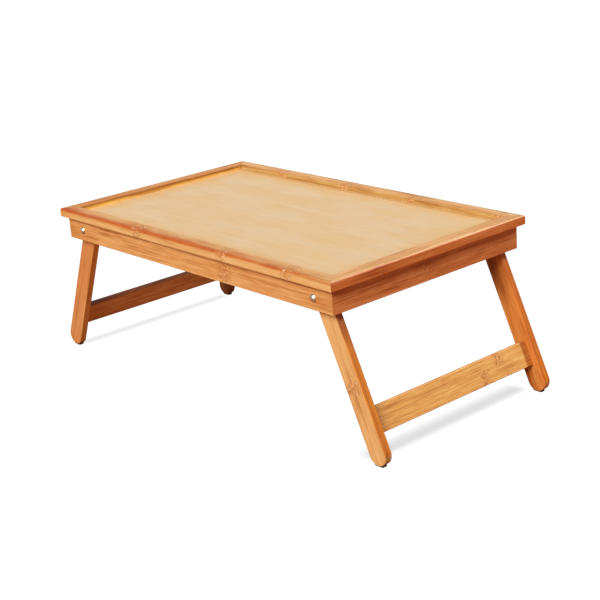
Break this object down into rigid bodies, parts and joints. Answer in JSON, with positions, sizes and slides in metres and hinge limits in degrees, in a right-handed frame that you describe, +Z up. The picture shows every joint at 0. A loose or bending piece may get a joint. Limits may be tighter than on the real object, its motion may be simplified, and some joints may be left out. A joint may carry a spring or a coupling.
{
  "type": "folding tray table",
  "caption": "Low bamboo bed tray: a rimmed rectangular tray on two splayed, stretcher-tied leg frames that fold flat under it.",
  "frame": {"origin": "on the floor under the middle of the tray, legs unfolded", "axes": "+X along the long sides, +Y to the back long side, +Z up"},
  "size_m": [0.5922, 0.296, 0.1956],
  "materials": {
    "bamboo_frame": "caramel bamboo with long grain, glue lines and nodes, satin lacquer",
    "bamboo_panel": "pale bamboo board, fine low-contrast grain, satin lacquer",
    "bamboo_legs": "caramel bamboo with long grain and nodes, satin lacquer, rounded edges",
    "dowel_wood": "plain beech dowel, unfinished",
    "bolt_steel": "bright zinc-plated domed head",
    "washer_steel": "zinc-plated, slightly dull",
    "pad_rubber": "matt black rubber"
  },
  "bodies": {
    "tray": {"tray_panel": "bamboo_panel", "front_rail": "bamboo_frame", "front_apron": "bamboo_frame", "front_rail_dowels": "dowel_wood", "right_rail": "bamboo_frame", "right_apron": "bamboo_frame", "right_rail_dowels": "dowel_wood", "back_rail": "bamboo_frame", "back_apron": "bamboo_frame", "back_rail_dowels": "dowel_wood", "left_rail": "bamboo_frame", "left_apron": "bamboo_frame", "left_rail_dowels": "dowel_wood", "front_left_pivot_bolt": "bolt_steel", "front_left_spacer_washer": "washer_steel", "front_left_nut_washer": "washer_steel", "front_left_lock_nut": "washer_steel", "back_left_pivot_bolt": "bolt_steel", "back_left_spacer_washer": "washer_steel", "back_left_nut_washer": "washer_steel", "back_left_lock_nut": "washer_steel", "front_right_pivot_bolt": "bolt_steel", "front_right_spacer_washer": "washer_steel", "front_right_nut_washer": "washer_steel", "front_right_lock_nut": "washer_steel", "back_right_pivot_bolt": "bolt_steel", "back_right_spacer_washer": "washer_steel", "back_right_nut_washer": "washer_steel", "back_right_lock_nut": "washer_steel"},
    "left_legs": {"left_stretcher": "bamboo_legs", "left_stretcher_dowels": "dowel_wood", "front_left_leg": "bamboo_legs", "front_left_foot_pad": "pad_rubber", "back_left_leg": "bamboo_legs", "back_left_foot_pad": "pad_rubber"},
    "right_legs": {"right_stretcher": "bamboo_legs", "right_stretcher_dowels": "dowel_wood", "front_right_leg": "bamboo_legs", "front_right_foot_pad": "pad_rubber", "back_right_leg": "bamboo_legs", "back_right_foot_pad": "pad_rubber"}
  },
  "joints": [
    {"name": "right_legs_fold", "type": "hinge", "parent": "tray", "child": "right_legs", "pos_m": [0.2139, 0, 0.1702], "axis": [0, 1, 0], "range_deg": [0, 114]},
    {"name": "left_legs_fold", "type": "hinge", "parent": "tray", "child": "left_legs", "pos_m": [-0.2139, 0, 0.1702], "axis": [0, -1, 0], "range_deg": [0, 114]}
  ]
}
